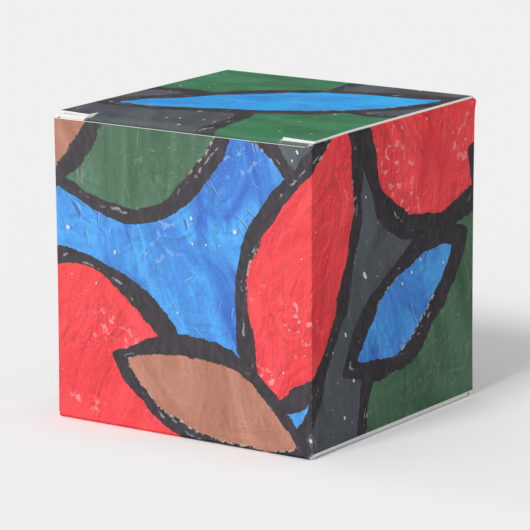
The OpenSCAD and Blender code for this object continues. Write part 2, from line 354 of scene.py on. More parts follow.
def walls_outline():
    """The outline of the walls and what folds off them, without the lids."""
    lower = [(0, SIDE_BOTTOM)]
    lower += dust_outline(on_left, BOTTOM_ROOT[::-1], SIDE_BOTTOM, -1, LOWER_LEFT_END)
    lower += [(FRONT_0, SIDE_BOTTOM), (FRONT_0 + FRONT_FOOT_START, FRONT_BOTTOM)]
    lower += [(FRONT_1 - back, FRONT_BOTTOM + up) for back, up in FRONT_FOOT] + [(FRONT_1, SIDE_BOTTOM)]
    lower += dust_outline(on_right, BOTTOM_ROOT, SIDE_BOTTOM, -1, FOLD_END)
    lower += [(BACK_0, SIDE_BOTTOM), (BACK_0, BACK_BOTTOM), (BACK_1, BACK_BOTTOM), (BACK_1, SIDE_BOTTOM)]
    lower += [(GLUE_0, SIDE_BOTTOM), (GLUE_1, SIDE_BOTTOM + GLUE_TAPER)]
    upper = [(0, SIDE_TOP)]
    upper += dust_outline(on_left, TOP_ROOT[::-1], SIDE_TOP, 1, -FOLD_END, CORNER_COVER)
    upper += [(FRONT_0, SIDE_TOP), (FRONT_0, FRONT_TOP)]
    upper += [(FRONT_1 - back, FRONT_TOP + up) for back, up in FRONT_HEAD] + [(FRONT_1, SIDE_TOP)]
    upper += dust_outline(on_right, TOP_ROOT, SIDE_TOP, 1, -FOLD_END)
    corner = RIGHT_1 - CORNER_R
    upper += [(corner - CORNER_FOOT, SIDE_TOP + CORNER_FOOT)]
    upper += arc((corner, CORNER_TOP - CORNER_R), CORNER_R, 90, 10)
    upper += [(RIGHT_1, BACK_TOP), (GLUE_0, BACK_TOP), (GLUE_1, SIDE_TOP - GLUE_TAPER)]
    return lower + upper[::-1]


# How far the walls draw in at half height, and how far they bow between their folds
WALL_DRAW = 0.12
WALL_BOW = 0.1
# How far the dust flaps hang down, in degrees, and the length over which they come to it
DUST_DROOP = 1.2
DROOP_LENGTH = 2.0
# The back wall stands in by this much, except at its top, where the lid's fold pushes it out
BACK_INSET = 0.45
INSET_Y = (5, 25)
BULGE_BOTTOM, BULGE_TOP = 49.2, 50.6
# The top lid's right front corner is pressed down by this much, over these lengths from the middle
CORNER_PRESS = 0.22
PRESS_X = (14, 25)
PRESS_Y = (12, 24)
# How far the left dust flap's fold sinks at its front end, over the front wall's corner
CORNER_DIP = 0.24
DIP_Y = (23.7, 24.4)


def smooth(value, low, high):
    """0 below low, 1 above high, and an even slope between them."""
    t = min(1.0, max(0.0, (value - low) / (high - low)))
    return t * t * (3 - 2 * t)


def press(x, y):
    """How far the top lid's right front corner is pressed down, with the dust flap under it."""
    return CORNER_PRESS * smooth(x, *PRESS_X) * smooth(-y, *PRESS_Y)


def settle_wall(p):
    """A wall's slight inward bow, and the back wall's stand, as the card has it between the lids."""
    x, y, z = p
    hump = max(0.0, 1 - (2 * z / BOX_H - 1) ** 2)
    side, front = abs(x) / BOX_W * 2, abs(y) / BOX_D * 2
    across = 1 - min(1.0, min(side, front)) ** 2
    draw = 1 - (WALL_DRAW * hump + WALL_BOW * hump * across) / (BOX_W / 2)
    back = smooth(y, *INSET_Y) * BACK_INSET * (1 - smooth(z, BULGE_BOTTOM, BULGE_TOP))
    return x * draw, y * draw - back, z


def place_wall(p):
    """The outer and inner points of a place on the walls' flat card, dust flaps folded in."""
    s, v = p
    (x, y), n, _ = WALL_PATH.at(s)
    (inner_x, inner_y), _, _ = INNER_PATH.at(float(np.interp(s, INNER_STOPS, INNER_PATH.ends)))
    edge, sign = (SIDE_TOP, 1) if v > SIDE_TOP else (SIDE_BOTTOM, -1)
    past = (v - edge) * sign
    corner = s > on_right(TOP_ROOT[1]) + SHOULDER_GAP
    if past <= 0 or corner or not (s < LEFT_1 or RIGHT_0 < s):
        return settle_wall((x, y, v)), settle_wall((inner_x, inner_y, v))
    side = n[0]
    turn = min(past / EDGE_R, math.pi / 2)
    flat = max(0.0, past - DUST_FOLD)
    droop = math.radians(DUST_DROOP) * min(1.0, flat / DROOP_LENGTH)
    px = side * (BOX_W / 2 - EDGE_R + EDGE_R * math.cos(turn) - flat * math.cos(droop))
    pz = edge + sign * (EDGE_R * math.sin(turn) - flat * math.sin(droop))
    lean = turn + droop
    qx, qz = px - side * CARD_T * math.cos(lean), pz - sign * CARD_T * math.sin(lean)
    if sign > 0:
        share = min(1.0, past / DUST_FOLD)
        if side < 0:
            pz, qz = (z - share * CORNER_DIP * smooth(-y, *DIP_Y) for z in (pz, qz))
        pz, qz = pz - share * press(px, y), qz - share * press(px, y)
    return (px, y, pz), (qx, y, qz)


def print_wall(p, slot):
    """Place on the walls' print: from the front wall's left edge, and the height."""
    return float(np.interp(p[0], WALL_PATH.ends, PRINT_STOPS)), p[1]


def wall_slots(p):
    """Material of the outside at a place on the flat card: 0 where it is printed, 1 where it is bare."""
    s, v = p
    on_print = s < BACK_1 and SIDE_BOTTOM < v < SIDE_TOP + (TOP_BLEED if s > FRONT_1 else 0)
    return 0 if on_print or FRONT_0 < s < FRONT_1 or BACK_0 < s < BACK_1 else 1


# The stretches along the walls' line where the print reaches round a cut edge, at the right wall's two ends,
# and the heights below and above which it does
FRONT_WRAP = (FRONT_1 - 0.7, on_right(-24.4))
WRAP_BELOW, WRAP_ABOVE = 1.3, 50.5
BACK_WRAP = (on_right(24.0), BACK_0 + 0.5)
BACK_WRAP_ABOVE = 50.6


def edge_printed(p):
    """Whether the print covers the cut edge at a place on the flat card."""
    s, v = p
    front = FRONT_WRAP[0] < s < FRONT_WRAP[1] and not WRAP_BELOW < v < WRAP_ABOVE
    return front or (BACK_WRAP[0] < s < BACK_WRAP[1] and v > BACK_WRAP_ABOVE)


def build_walls(materials):
    columns = sorted(set(WALL_PATH.stations()))
    fold = [DUST_FOLD * i / FOLD_ROWS for i in range(FOLD_ROWS + 1)]
    count = round((SIDE_TOP - SIDE_BOTTOM) / GRID)
    rows = [SIDE_BOTTOM + (SIDE_TOP - SIDE_BOTTOM) * i / count for i in range(count + 1)]
    flap = [DUST_FOLD + GRID * i for i in range(1, math.ceil(DUST_REACH / GRID) + 1)]
    past = fold + [TOP_BLEED] + flap
    rows += [SIDE_TOP + f for f in past] + [SIDE_BOTTOM - f for f in past]
    return card_sheet("walls", walls_outline(), columns, sorted(set(rows)), place_wall, print_wall,
                      wall_slots, materials, edge_printed)


# The lids, each with its hinge fold, its panel and its tuck flap

BACK_FOLD_R = 0.9
FRONT_FOLD_R = 0.55
# How far the tuck flaps lean in, in degrees
TOP_LEAN, BOTTOM_LEAN = 7.47, 7.63
# How far the top lid tapers in at its fold, as a share of its width, to clear the walls' corners, and where
# it widens, before and past the fold's end
FOLD_NARROWER = 0.003
NARROW_BEFORE, NARROW_PAST = 0.3, 1
# How far the hooked end of a slit runs back into the panel, and in towards the middle, and how far it is
# open, and how far outside the tuck fold it lies
HOOK_DEPTH = 2.7
HOOK_SHIFT = 0.6
HOOK_GAP = 0.2
HOOK_STEPS = 12
SLIT_MARGIN = 0.05
# The left slits are torn open
TORN_DEPTH, TORN_GAP = 2.1, 0.75
# How evenly a slit narrows towards its end: a torn one evenly, a hooked one only near its end
TORN_TAPER, HOOK_TAPER = 1.0, 0.35
# A tuck flap's shoulders stand straight up from this far past the panel's end
SHOULDER_FROM = 0.4
# How far past its end the panel's own looks and shapes reach
PANEL_MARGIN = 0.1
# The print runs on past a tuck flap's fold, and its left shoulder is bare up to here
TUCK_BLEED = 3.0
BARE_X = -21.2
# Share of a lid's fold that the walls' print covers, on the top lid and on the bottom one
TOP_FOLD_PRINT, BOTTOM_FOLD_PRINT = 0.5, 0.97
# The mesh has more columns at these distances past the slits' inner ends, and more rows along the hooked ends
SLIT_COLUMNS = (-0.8, -0.4, 0.3)
SLIT_ROWS = 6
# A lid's fold at its sides: half widths, with places along the lid as a share of the fold and a length past
# it. The bottom lid's is square at its left end, and cut away in a curve at its right.
PLAIN_FOLD = [(LID_HALF_W, 0, 0), (LID_HALF_W, 1, 0)]
SQUARE_FOLD = [(25.2, 0, 0), (25.2, 1, -0.05), (LID_HALF_W, 1, 0.1)]
CURVED_FOLD = [(24.95, 0, 0), (24.9, 0.25, 0), (24.72, 0.55, 0), (24.5, 0.85, 0), (24.45, 1, 0),
               (24.6, 1, 0.15), (24.85, 1, 0.3), (LID_HALF_W, 1, 0.6)]
# How far a lid's panel sinks in its middle
LID_DISH = 0.1
# How far the panel drops at its tuck fold, in the middle and beside the slits, and at the left slit's mouth
MIDDLE_DROP = 0.1
HOOK_DROP = 0.42
MOUTH_DROP = 0.12
# The drop starts this far behind the slits' ends, and this far from the middle, and ends past the panel
DROP_START = 0.8
DROP_X = 8
DROP_END = 0.3
MOUTH_LENGTH = 5
# The bottom lid's right edge is crushed thinner where it was cut, more towards the front
EDGE_CRUSH = 0.12
CRUSH_Y = (-5, 22)
CRUSH_FROM, CRUSH_TO, CRUSH_START = 0.5, 0.1, 1


class Lid:
    """One lid, with 1 for up at the top and -1 at the bottom. It hangs on its wall's edge.

    Its flat card is measured across, along X, and from the hinge fold's start."""

    def __init__(self, name, edge, fold_r, lean, up):
        self.name, self.edge, self.up = name, edge, up
        self.fold = fold_len(fold_r)
        panel = BOX_D / 2 - fold_r - LID_FRONT_Y
        tuck_fold = fold_len(TUCK_FOLD_R, 90 + lean)
        self.path = Path((up * BOX_D / 2, edge), up * 90, [
            (self.fold, fold_r), (panel, 0), (tuck_fold, TUCK_FOLD_R), (TUCK_LEN, 0)])
        self.panel_end, self.tuck_start, self.tip = self.path.ends[2:]

    def hook_x(self, s):
        """Distance from the middle at which a slit's hooked end runs, at a place along the lid."""
        back = min(1.0, max(0.0, (self.panel_end - s) / HOOK_DEPTH))
        return TUCK_FOLD_HALF_W + SLIT_MARGIN - HOOK_SHIFT * back ** 2

    def narrow(self, s):
        """Width at a place along the lid, as a share of the panel's."""
        if self.up < 0:
            return 1
        return 1 - FOLD_NARROWER * (1 - smooth(s, self.fold - NARROW_BEFORE, self.fold + NARROW_PAST))

    def side(self, left):
        """One side of the outline, from the hinge to the tuck flap's free edge."""
        fold = PLAIN_FOLD if self.up > 0 else SQUARE_FOLD if left else CURVED_FOLD
        half = [(x, self.fold * share + past) for x, share, past in fold] + [(LID_HALF_W, self.panel_end)]
        depth, gap, taper = (TORN_DEPTH, TORN_GAP, TORN_TAPER) if left else (HOOK_DEPTH, HOOK_GAP, HOOK_TAPER)
        open_at = []
        for i in range(HOOK_STEPS + 1):
            s = self.panel_end - depth * i / HOOK_STEPS
            open_at.append((self.hook_x(s), s, (1 - i / HOOK_STEPS) ** taper))
        half += [(x + HOOK_GAP / 4 * t, s) for x, s, t in open_at]
        half += [(x - gap * t, s) for x, s, t in open_at[::-1][1:]]
        shoulder = self.tuck_start - SHOULDER_RISE
        half += [(TUCK_FOLD_HALF_W - gap, self.panel_end + DROP_END), (TUCK_FOLD_HALF_W, shoulder),
                 (TUCK_FOLD_HALF_W, self.tuck_start), (SHOULDER_START, self.tuck_start),
                 (SHOULDER_START, shoulder), (TUCK_HALF_W, shoulder)]
        r = TUCK_CORNER_R
        return half + arc((TUCK_HALF_W - r, self.tip - r), r, 0, 90, 12)

    def outline(self):
        """The lid's flat card, right side first."""
        return self.side(False) + [(-x, s) for x, s in self.side(True)[::-1]]

    def place(self, p):
        """The outer and inner points of a place on the lid's flat card."""
        x, s = p
        beside = abs(x) > self.hook_x(s)
        if beside and s > self.panel_end + SHOULDER_FROM:
            (y, z), n, way = self.path.at(self.tuck_start)
            past = s - self.tuck_start
            y, z = y + past * way[0], z + past * way[1]
        else:
            (y, z), n, way = self.path.at(s)
        x = x * self.narrow(s)
        x, y, z = self.settle(x, y, z, s, beside)
        inner = (x, y - CARD_T * n[0], z - CARD_T * n[1])
        if self.up < 0 and s < self.panel_end:
            crush = EDGE_CRUSH * (1 + smooth(-y, *CRUSH_Y))
            at_edge = smooth(x, LID_HALF_W - CRUSH_FROM, LID_HALF_W - CRUSH_TO)
            z += crush * at_edge * smooth(s, self.fold, self.fold + CRUSH_START)
        return (x, y, z), inner

    def settle(self, x, y, z, s, beside):
        """The panel's slight dish, its drop beside the hooked ends of the slits, and its pressed corners."""
        down = 0.0
        if self.fold < s < self.panel_end:
            along = (s - self.fold) / (self.panel_end - self.fold)
            down += LID_DISH * (1 - (x / LID_HALF_W) ** 2) * 4 * along * (1 - along)
        if not beside:
            near = smooth(s, self.panel_end - HOOK_DEPTH - DROP_START, self.panel_end)
            by_slit = smooth(abs(x), DROP_X, TUCK_FOLD_HALF_W)
            down += near * (MIDDLE_DROP + (HOOK_DROP - MIDDLE_DROP) * by_slit) * (
                1 - smooth(s, self.panel_end + DROP_END, self.tuck_start))
        if self.up > 0 and s < self.panel_end + PANEL_MARGIN:
            if beside and x < 0:
                down += MOUTH_DROP * smooth(x, -LID_HALF_W, -TUCK_FOLD_HALF_W) * smooth(
                    s, self.panel_end - MOUTH_LENGTH, self.panel_end)
            down += press(x, y)
        return x, y, z - self.up * down

    def print_at(self, p, slot):
        """Place on the print, which on the fold is the walls' and elsewhere the lid's own."""
        x, s = p
        if slot == 0:
            return x + BOX_W / 2, self.edge + self.up * s
        y = self.path.at(min(s, self.panel_end))[0][0]
        past = max(0.0, s - self.panel_end)
        return x, self.up * y - past

    def slots(self, p):
        """Material of the outside: 0 for the walls' print, 1 for the lid's, 2 for bare card."""
        x, s = p
        if s < self.fold * (TOP_FOLD_PRINT if self.up > 0 else BOTTOM_FOLD_PRINT):
            return 0
        bare_shoulder = x < BARE_X and s > self.panel_end + PANEL_MARGIN
        return 1 if s < self.tuck_start + TUCK_BLEED and not bare_shoulder else 2

    def build(self, materials):
        count = round(2 * LID_HALF_W / GRID)
        columns = [LID_HALF_W * (2 * i / count - 1) for i in range(count + 1)]
        columns += [LID_HALF_W - CRUSH_TO, LID_HALF_W - CRUSH_FROM]
        columns += [side * (TUCK_FOLD_HALF_W + past) for side in (-1, 1) for past in SLIT_COLUMNS]
        rows = self.path.stations() + [self.tuck_start + TUCK_BLEED, self.tuck_start]
        rows += [self.panel_end - HOOK_DEPTH * i / SLIT_ROWS for i in range(SLIT_ROWS + 1)]
        return card_sheet(self.name, self.outline(), sorted(columns), sorted(set(rows)), self.place,
                          self.print_at, self.slots, materials)


TOP = Lid("top_lid_card", BACK_TOP, BACK_FOLD_R, TOP_LEAN, 1)
BOTTOM = Lid("bottom_lid_card", FRONT_BOTTOM, FRONT_FOLD_R, BOTTOM_LEAN, -1)


def bend_of(lid):
    """The points inside the card where a lid's fold begins at the walls and ends at the panel."""
    (y0, z0), n0, _ = lid.path.at(0)
    (y1, z1), n1, _ = lid.path.at(lid.fold)
    start = Vector((0, y0 - CARD_T * n0[0], z0 - CARD_T * n0[1])) * MM
    end = Vector((0, y1 - CARD_T * n1[0], z1 - CARD_T * n1[1])) * MM
    return start, end


# Materials

def linear(hex_colour):
    """A colour such as 3a7fc6 as linear red, green, blue and alpha."""
    parts = [int(hex_colour[i:i + 2], 16) / 255 for i in (0, 2, 4)]
    return tuple(c / 12.92 if c <= 0.04045 else ((c + 0.055) / 1.055) ** 2.4 for c in parts) + (1.0,)


# Each paint: its colour, its deeper shade, then the brush's turn, how rough the paint lies, how many
# scratches it has, and how many pale drops
RED = ("f04249", "dc2d35", 0.42, 1.0, 0.15, 0.35)
BLUE = ("46a0e8", "2a66c0", 0.62, 0.9, 1.0, 0.75)
GREEN = ("4a6f54", "2d5438", 0.55, 0.7, 0.5, 0.25)
TOP_GREEN = ("2f8253", "1f6c40", 0.03, 0.5, 0.2, 0.6)
BROWN = ("b9806a", "9c654c", 0.62, 0.4, 0.1, 0.1)
GREY = ("51585f", "3b4147", 0.6, 0.4, 0.3, 1.0)
TOP_BLUE = ("18b0f6", "148ce2", 0.02, 0.8, 0.8, 0.35)
# The lines, where they are dark and where they are paler, and the bare card
DARK, DARK_WORN = "1b171d", "332c34"
CARD_WHITE = "efeeec"
# Each field: its paint, its centre, its turn in degrees, its length and width, and its line's width as a
# share of the plain one. On the walls, a centre is in walls from the front one's left edge and in heights,
# and lengths are in heights. On a lid, a centre and lengths are in shares of the lid.
WALL_FIELDS = [
    (BLUE, 0.47, 0.47, 0, 1.22, 1.22, 1.0),
    (RED, 0.04, 0.04, 0, 0.98, 0.98, 1.0),
    (GREEN, 0.26, 1.12, 0, 0.83, 0.83, 1.0),
    (GREEN, 1.93, 0.04, 0, 1.22, 1.22, 1.35),
    (RED, 1.78, 1.10, 0, 0.98, 0.98, 1.5),
    (RED, 1.00, 0.59, 68, 1.02, 0.45, 1.1),
    (BROWN, 0.61, 0.14, -16, 0.75, 0.28, 0.9),
    (BLUE, 1.56, 0.39, 24, 0.75, 0.28, 1.2),
    (BLUE, 2.80, 0.87, 0, 1.06, 1.06, 1.1),
    (RED, 2.76, -0.12, 0, 0.98, 0.98, 1.0),
    (BROWN, 2.34, 0.55, -38, 0.90, 0.35, 1.0),
    (BROWN, -0.33, 1.18, 0, 1.02, 1.02, 1.2),
    (GREEN, -0.68, 0.24, 0, 0.79, 0.79, 1.0),
    (BLUE, -0.49, 0.65, 28, 0.90, 0.33, 1.0),
]
TOP_FIELDS = [
    (GREY, 0.12, 0.09, 0, 0.94, 0.94, 1.2),
    (GREY, 0.93, 0.90, 0, 0.78, 0.78, 1.0),
    (TOP_BLUE, 0.53, 0.56, 33, 1.18, 0.39, 1.1),
]
BOTTOM_FIELDS = [
    (RED, 0.16, 0.12, 0, 1.18, 1.18, 1.0),
    (BLUE, 0.98, 0.91, 0, 0.94, 0.94, 1.2),
    (BROWN, 0.47, 0.59, 38, 0.90, 0.35, 1.0),
]


def on_walls(field):
    """A field on the walls' print: its paint, centre, turn, length and width, in millimetres, and line."""
    paint, place, up, turn, length, width, line = field
    starts = (-BOX_D, *CREASES)
    widths = (BOX_D, BOX_W, BOX_D, BOX_W)
    k = min(max(math.floor(place) + 1, 0), 3)
    across = starts[k] + (place + 1 - k) * widths[k]
    return paint, (across, up * BOX_H), turn, length * BOX_H, width * BOX_H, line


def on_lid(field):
    """A field on a lid's print, measured from the lid's middle."""
    paint, across, along, turn, length, width, line = field
    return paint, ((across - 0.5) * BOX_W, (along - 0.5) * BOX_D), turn, length * BOX_W, width * BOX_W, line


# How the fields' edges wander, step by step: the noise's scale, its reach in millimetres and its detail
EDGE_WANDERS = ((0.05, 2.6, 0.0), (0.28, 0.6, 0.0), (1.4, 0.12, 1.0))
# How much the tips of a leaf-shaped field are rounded
TIP_ROUND = 2.5
# A line's half width as a share of LINE_W, where it is thin and where it is thick
LINE_THIN, LINE_THICK = 0.34, 0.64
# Farther than any field's edge
FAR = 50.0
# The relief is lit by how much it rises over these steps, on the card and along the brush
CARD_STEP, BRUSH_STEP = (-0.16, 0.2), (0.12, 0.2)
# How close the ridges beside a field's edge lie, across and along it, and the step over which they are lit
RIDGE_ACROSS, RIDGE_ALONG, RIDGE_STEP = 0.65, 0.07, 0.11
# Strength of the upright streaks on the front wall and on the right one, and how far the change reaches
FRONT_STREAKS, RIGHT_STREAKS, STREAKS_REACH = 0.035, 0.1, 0.2
# The largest drop's size in its cell, and how far its shadow falls
DROP_SIZE = 0.135
DROP_SHADOW = (0.03, 0.045)
# How far the print is worn on each side of a crease
CREASE_WEAR = 0.09
# The lids' print is dulled towards a dark grey by this much, from before the panel's end to past it, and more
# by the right slit: worn print, and painted shade on the tuck fold
FOLD_DULL_SHADE, DULL_SHADE_FROM, DULL_SHADE_TO = 0.3, 0.3, 0.2
SLIT_DULL_SHADE, DULL_SHADE_REACH = 0.85, 0.4
# How far the print's torn end at the left slit slants
TORN_SLANT = 0.9
# Colours of what lies on the paint, or is left where it is gone
RIM_COLOUR, SCRATCH_COLOUR = (0.9, 0.95, 1, 1), (0.01, 0.015, 0.05, 1)
DROP_COLOUR, SHADOW_COLOUR = (0.72, 0.78, 0.8, 1), (0.01, 0.01, 0.03, 1)
# The dull colour on the tuck fold is a dark grey that is partly painted shade
CHIP_COLOUR, WORN_COLOUR, DULL_SHADE_COLOUR = (0.9, 0.9, 0.9, 1), (0.8, 0.8, 0.8, 1), (0.17, 0.195, 0.185, 1)
DASH_COLOUR, NICK_COLOUR = (0.42, 0.4, 0.42, 1), (0.55, 0.5, 0.48, 1)


class Graph:
    """A material's nodes, made by plain calls. An input is a number, a colour, a vector or another socket."""

    def __init__(self, name):
        self.material = bpy.data.materials.new(name)
        self.material.use_nodes = True
        self.tree = self.material.node_tree
        self.shader = self.tree.nodes["Principled BSDF"]

    def node(self, kind, inputs, output=0, **settings):
        made = self.tree.nodes.new(kind)
        for key, value in settings.items():
            setattr(made, key, value)
        for key, value in inputs.items():
            self.put(made.inputs[key], value)
        return made.outputs[output]

    def put(self, socket, value):
        if isinstance(value, bpy.types.NodeSocket):
            self.tree.links.new(value, socket)
        else:
            socket.default_value = value

    def math(self, operation, *values):
        return self.node("ShaderNodeMath", dict(enumerate(values)), operation=operation)

    def product(self, first, *others):
        for other in others:
            first = self.math("MULTIPLY", first, other)
        return first

    def vector(self, operation, *values, output=0):
        return self.node("ShaderNodeVectorMath", dict(enumerate(values)), output, operation=operation)

    def axis(self, place, index):
        return self.node("ShaderNodeSeparateXYZ", {0: place}, index)

    def shifted(self, place, x, y):
        return self.vector("ADD", place, (x, y, 0))

    def stretched(self, place, x, y):
        return self.vector("MULTIPLY", place, (x, y, 1))

    def mix(self, factor, a, b, blend="MIX"):
        return self.node("ShaderNodeMix", {0: factor, 6: a, 7: b}, 2, data_type="RGBA", blend_type=blend)

    def lerp(self, factor, a, b):
        return self.node("ShaderNodeMix", {0: factor, 2: a, 3: b}, 0, data_type="FLOAT")

    def ramp(self, value, low, high, to_low=0.0, to_high=1.0):
        return self.node("ShaderNodeMapRange", {0: value, 1: low, 2: high, 3: to_low, 4: to_high})

    def noise(self, place, scale, detail=2.0, roughness=0.5, distortion=0.0, output=0):
        return self.node("ShaderNodeTexNoise", {
            "Vector": place, "Scale": scale, "Detail": detail, "Roughness": roughness,
            "Distortion": distortion}, output, noise_dimensions="2D")

    def wander(self, place, scale, reach, detail=0.0):
        """A step that changes from place to place, of up to half the reach."""
        push = self.vector("SUBTRACT", self.noise(place, scale, detail, output=1), (0.5, 0.5, 0.5))
        return self.vector("MULTIPLY", push, (reach, reach, 0))

    def field_distance(self, place, centre, turn, length, width):
        """How far a place lies outside a field of two arcs, and below zero inside it."""
        r = (length * length / width + width) / 4
        turned = self.node("ShaderNodeMapping", {
            "Vector": place, "Location": (*centre, 0), "Rotation": (0, 0, math.radians(turn))},
            vector_type="TEXTURE")
        offset = r - width / 2
        near = self.vector("DISTANCE", turned, (0, offset, 0), output=1)
        if offset < NO_LENGTH:
            return self.math("SUBTRACT", near, r)
        far = self.vector("DISTANCE", turned, (0, -offset, 0), output=1)
        return self.math("SUBTRACT", self.math("SMOOTH_MAX", near, far, TIP_ROUND), r)


class Print(Graph):
    """Painted fields with dark lines between them, as printed on the card."""

    def __init__(self, name, fields, ground, wall):
        super().__init__(name)
        self.place = self.node("ShaderNodeUVMap", {}, uv_map="Print")
        self.across, self.along = (self.axis(self.place, i) for i in (0, 1))
        self.lay_fields(fields, ground)
        self.brushed = self.along_brush(0.05, 5.0)
        self.brushwork(wall)
        self.scratches()
        self.drops_and_chips()
        self.lines()
        if wall:
            self.wear_creases()
        else:
            self.wear_and_shade_tuck_fold()
        self.put(self.shader.inputs["Base Color"], self.paint)
        # Coated card, with a fine grain
        coat = self.ramp(self.noise(self.place, 0.2, 2.0), 0.3, 0.7, 0.44, 0.54)
        self.put(self.shader.inputs["Roughness"], coat)
        self.put(self.shader.inputs["Normal"], self.node("ShaderNodeBump", {
            "Height": self.noise(self.place, 5.0, 2.0), "Strength": 0.15, "Distance": 0.00002}))
        self.shader.inputs["Specular IOR Level"].default_value = 0.15

    def cover(self, factor, colour):
        self.paint = self.mix(factor, self.paint, colour)

    def along_brush(self, scale, reach, detail=0.0):
        """The place on the card, made to wander and turned so that the brush runs along X."""
        return self.node("ShaderNodeVectorRotate", {
            "Vector": self.vector("ADD", self.place, self.wander(self.place, scale, reach, detail)),
            "Angle": self.product(self.turned, -math.pi)}, rotation_type="Z_AXIS")

    def patches(self, origin, scale, low, high, detail=1.0, roughness=0.5, least=0.0):
        """Patches up to 1. Each kind has an origin of its own, so that no two fall together."""
        found = self.noise(self.shifted(self.place, *origin), scale, detail, roughness)
        return self.ramp(found, low, high, least)

    def lay_fields(self, fields, ground):
        """The fields, painted one over the other, with the line of each round it."""
        shaken = self.place
        for scale, reach, detail in EDGE_WANDERS:
            shaken = self.vector("ADD", shaken, self.wander(self.place, scale, reach, detail))
        line_half = self.ramp(self.noise(self.place, 0.09, 1.0), 0.3, 0.7,
                              LINE_W * LINE_THIN, LINE_W * LINE_THICK)
        light, deep, style, drops = linear(ground[0]), linear(ground[1]), (*ground[2:5], 1.0), ground[5]
        # Distance from the nearest field's edge in halves of its line: under -1 inside it, over 1 outside all
        edge = FAR
        for paint, centre, turn, length, width, line in fields:
            out = self.field_distance(shaken, centre, turn, length, width)
            inside = self.math("LESS_THAN", out, 0.0)
            light = self.mix(inside, light, linear(paint[0]))
            deep = self.mix(inside, deep, linear(paint[1]))
            style = self.mix(inside, style, (*paint[2:5], 1.0))
            drops = self.lerp(inside, drops, paint[5])
            out = self.math("DIVIDE", out, self.product(line_half, line))
            nearer = self.math("LESS_THAN", self.math("ABSOLUTE", out), self.math("ABSOLUTE", edge))
            edge = self.lerp(self.math("MAXIMUM", nearer, inside), edge, out)
        self.light, self.deep, self.drops, self.edge = light, deep, drops, edge
        self.turned, self.rough, self.scratched = (
            self.node("ShaderNodeSeparateColor", {0: style}, i) for i in range(3))

    def paint_height(self, place, brushed):
        """How high the dried paint lies: strokes of the brush, and lumps."""
        strokes = self.noise(self.stretched(brushed, 0.16, 0.5), 1.0, 3.0, 0.6, 0.45)
        lumps = self.noise(place, 0.5, 3.0, 0.6, 0.4)
        return self.math("ADD", strokes, self.product(lumps, 0.7))

    def relief(self):
        """How bright the dried paint is, lit as if from the upper left."""
        height = self.paint_height(self.place, self.brushed)
        lit = self.paint_height(self.shifted(self.place, *CARD_STEP),
                                self.shifted(self.brushed, *BRUSH_STEP))
        some = self.patches((25, 25), 0.11, 0.42, 0.62, 2.0, least=0.3)
        slope = self.product(self.math("SUBTRACT", height, lit), self.rough, some)
        tone = self.ramp(slope, -0.17, 0.17, 0.68, 1.32)
        # Ridges that follow the edges of the thickest fields
        along = self.product(self.along, RIDGE_ALONG)
        rise, fall = (self.noise(self.node("ShaderNodeCombineXYZ", {
            0: self.math("MULTIPLY_ADD", self.edge, RIDGE_ACROSS, step), 1: along}), 1.0, 2.0)
            for step in (0.0, RIDGE_STEP))
        here = self.patches((90, 31), 0.09, 0.5, 0.64)
        ridges = self.product(self.math("SUBTRACT", rise, fall), here, self.rough)
        grain = self.ramp(self.noise(self.place, 1.6, 3.0, 0.6), 0.25, 0.75, 0.93, 1.07)
        return self.product(tone, self.ramp(ridges, -0.1, 0.1, 0.78, 1.22), grain)

    def brushwork(self, wall):
        """Patches of the two shades, the brush's strokes, and upright streaks on the walls."""
        shades = self.noise(self.stretched(self.brushed, 0.05, 0.13), 1.0, 4.0, 0.6, 0.8)
        self.paint = self.mix(self.ramp(shades, 0.36, 0.68), self.light, self.deep)
        tone = self.relief()
        if wall:
            strength = self.ramp(self.across, BOX_W - STREAKS_REACH, BOX_W + STREAKS_REACH,
                                 FRONT_STREAKS, RIGHT_STREAKS)
            fine = self.noise(self.stretched(self.place, 2.4, 0.17), 1.0, 2.0)
            fine = self.product(self.ramp(fine, 0.25, 0.75, -1.0, 1.0), strength)
            tone = self.product(tone, self.math("ADD", fine, 1.0))
        grey = self.node("ShaderNodeCombineColor", {0: tone, 1: tone, 2: tone})
        self.paint = self.mix(1.0, self.paint, grey, "MULTIPLY")

    def scratches(self):
        """Scratches with a light rim, where the paint is thick."""
        curved = self.along_brush(0.035, 22.0, 1.0)
        flow = self.shifted(self.stretched(curved, 0.075, 0.8), 4, 9)
        where = self.product(self.patches((7, 40), 0.2, 0.5, 0.55), self.scratched)
        scratch, rim = (self.ramp(self.noise(at, 1.0, 2.0, 0.5, 0.9), 0.68, 0.7)
                        for at in (flow, self.shifted(flow, 0.0, 0.16)))
        self.cover(self.product(rim, where, 0.4), self.mix(0.45, self.light, RIM_COLOUR))
        self.cover(self.product(scratch, where, 0.7), self.mix(0.6, self.deep, SCRATCH_COLOUR))

    def drops_and_chips(self):
        """Pale drops with a shadow, and worn paler patches where the paint is rough."""
        thrown = self.vector("ADD", self.stretched(self.brushed, 0.2, 0.3),
                             self.wander(self.place, 0.9, 0.06))
        cells, low = (self.node("ShaderNodeTexVoronoi", {"Vector": at, "Scale": 1.0}, voronoi_dimensions="2D")
                      for at in (thrown, self.shifted(thrown, *DROP_SHADOW)))
        random = self.node("ShaderNodeSeparateColor", {0: cells.node.outputs[1]}, 0)
        crowd = self.patches((60, 9), 0.07, 0.38, 0.56)
        size = self.product(self.ramp(random, 0.3, 1.0, 0.0, DROP_SIZE), self.product(crowd, self.drops))
        shade = self.math("LESS_THAN", low, self.product(size, 1.2))
        self.cover(self.product(shade, 0.5), self.mix(0.7, self.deep, SHADOW_COLOUR))
        drop = self.math("LESS_THAN", cells, size)
        self.cover(self.product(drop, 0.8), DROP_COLOUR)
        chips = self.product(self.patches((18, 77), 0.6, 0.58, 0.66, 3.0, 0.6),
                             self.patches((5, 5), 0.09, 0.58, 0.66),
                             self.math("POWER", self.rough, 4.0), 0.55)
        self.cover(chips, self.mix(0.45, self.light, CHIP_COLOUR))

